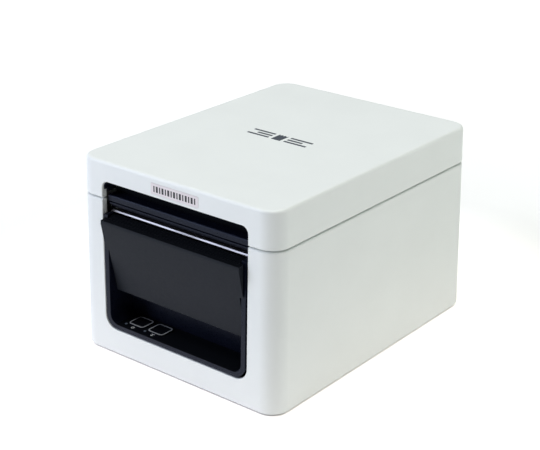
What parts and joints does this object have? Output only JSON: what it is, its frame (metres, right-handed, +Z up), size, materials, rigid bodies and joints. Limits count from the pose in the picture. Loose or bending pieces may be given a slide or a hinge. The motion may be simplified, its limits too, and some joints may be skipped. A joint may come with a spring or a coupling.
{
  "type": "receipt printer",
  "caption": "Compact desktop thermal receipt printer in white with a black front recess, a large cover lever under the paper slot, front buttons and a rear-hinged lid.",
  "frame": {"origin": "under the middle of the overall box, on the plane the feet stand on", "axes": "+X right as seen from the front, front faces -Y, +Y back towards the hinge, +Z up"},
  "size_m": [0.1294, 0.1726, 0.1043],
  "materials": {
    "white_case": "fine matt texture",
    "black_gloss_trim": "satin gloss black",
    "charcoal_lever": "fine matt texture",
    "black_inner": "matt black",
    "foot_rubber": "matt",
    "platen_rubber": "ground matt",
    "gear_plastic": "natural acetal",
    "board": "green solder mask",
    "head_ceramic": "glazed ceramic",
    "heat_sink_aluminium": "extruded",
    "label": "blank printed plate",
    "ribbon": "flat cable",
    "light_lens": "translucent lens",
    "plated_steel": "plated",
    "bright_steel": "bright"
  },
  "bodies": {
    "chassis": {"base_plate": "black_inner", "base_screw_front_left": "plated_steel", "base_screw_front_right": "plated_steel", "base_screw_rear_left": "plated_steel", "base_screw_rear_right": "plated_steel", "cutter_motor": "plated_steel", "drawer_socket": "black_inner", "feed_motor": "plated_steel", "foot_front_left": "foot_rubber", "foot_front_right": "foot_rubber", "foot_rear_left": "foot_rubber", "foot_rear_right": "foot_rubber", "front_bezel": "black_gloss_trim", "head_pivot_shaft": "bright_steel", "head_ribbon": "ribbon", "head_spring_left": "bright_steel", "head_spring_right": "bright_steel", "hinge_pin_left": "bright_steel", "hinge_pin_right": "bright_steel", "idler_axle": "bright_steel", "lever_spring": "bright_steel", "lower_case": "white_case", "main_board": "board", "mechanism_frame": "bright_steel", "network_socket": "black_inner", "paper_bucket": "black_inner", "power_light": "light_lens", "power_socket": "black_inner", "rear_panel": "black_inner", "status_light": "light_lens", "switch_board": "board", "tear_bar": "bright_steel", "usb_socket": "plated_steel"},
    "lid": {"lid_shell": "white_case", "label_plate": "label", "lid_front_panel": "black_gloss_trim", "lid_frame": "black_inner", "fixed_blade": "bright_steel", "platen_bearing_left": "gear_plastic", "platen_bearing_right": "gear_plastic"},
    "platen": {"platen_shaft": "bright_steel", "platen_roller": "platen_rubber", "platen_gear": "gear_plastic"},
    "idler": {"idler_gear": "gear_plastic"},
    "feed_drive": {"feed_pinion": "gear_plastic", "feed_motor_shaft": "bright_steel"},
    "lever": {"cover_lever": "charcoal_lever", "lever_shaft": "bright_steel", "latch_hook_left": "bright_steel", "latch_hook_right": "bright_steel"},
    "power_button": {"power_button": "black_gloss_trim"},
    "feed_button": {"feed_button": "black_gloss_trim"},
    "head": {"thermal_head": "head_ceramic", "heat_sink": "heat_sink_aluminium"},
    "cutter_blade": {"moving_blade": "bright_steel"},
    "cutter_drive": {"cutter_pinion": "gear_plastic", "cutter_motor_shaft": "bright_steel"}
  },
  "joints": [
    {"name": "lid_hinge", "type": "hinge", "parent": "chassis", "child": "lid", "pos_m": [0, 0.08371, 0.085], "axis": [-1, 0, 0], "range_deg": [0, 95]},
    {"name": "platen_spin", "type": "hinge", "parent": "lid", "child": "platen", "pos_m": [0, -0.05801, 0.0819], "axis": [1, 0, 0], "continuous": true},
    {"name": "idler_spin", "type": "hinge", "parent": "chassis", "child": "idler", "pos_m": [-0.051, -0.05801, 0.0643], "axis": [1, 0, 0], "continuous": true},
    {"name": "feed_motor_spin", "type": "hinge", "parent": "chassis", "child": "feed_drive", "pos_m": [-0.051, -0.04783, 0.05412], "axis": [1, 0, 0], "continuous": true},
    {"name": "lever_pull", "type": "hinge", "parent": "chassis", "child": "lever", "pos_m": [0, -0.07241, 0.0383], "axis": [1, 0, 0], "range_deg": [0, 12], "stiffness_Nm_per_rad": 0.6, "springref_deg": -8.59},
    {"name": "power_button_press", "type": "slide", "parent": "chassis", "child": "power_button", "axis": [0, 0, -1], "range_m": [0, 0.0008], "stiffness_N_per_m": 400, "springref_m": -0.0005},
    {"name": "feed_button_press", "type": "slide", "parent": "chassis", "child": "feed_button", "axis": [0, 0, -1], "range_m": [0, 0.0008], "stiffness_N_per_m": 400, "springref_m": -0.0005},
    {"name": "head_tilt", "type": "hinge", "parent": "chassis", "child": "head", "pos_m": [0, -0.04551, 0.0728], "axis": [1, 0, 0], "range_deg": [0, 2], "stiffness_Nm_per_rad": 5, "springref_deg": -2.86, "deforming": ["head_spring_left", "head_spring_right"]},
    {"name": "cutter_stroke", "type": "slide", "parent": "chassis", "child": "cutter_blade", "axis": [0, 0, 1], "range_m": [0, 0.008]},
    {"name": "cutter_motor_spin", "type": "hinge", "parent": "chassis", "child": "cutter_drive", "pos_m": [0.034, -0.06951, 0.0513], "axis": [0, 1, 0], "range_deg": [0, 95.6]}
  ],
  "couplings": [
    {"joint": "idler_spin", "follows": "platen_spin", "ratio": -0.83333},
    {"joint": "feed_motor_spin", "follows": "platen_spin", "ratio": 1.6667},
    {"joint": "cutter_motor_spin", "follows": "cutter_stroke", "rad_per_m": 208.33}
  ]
}
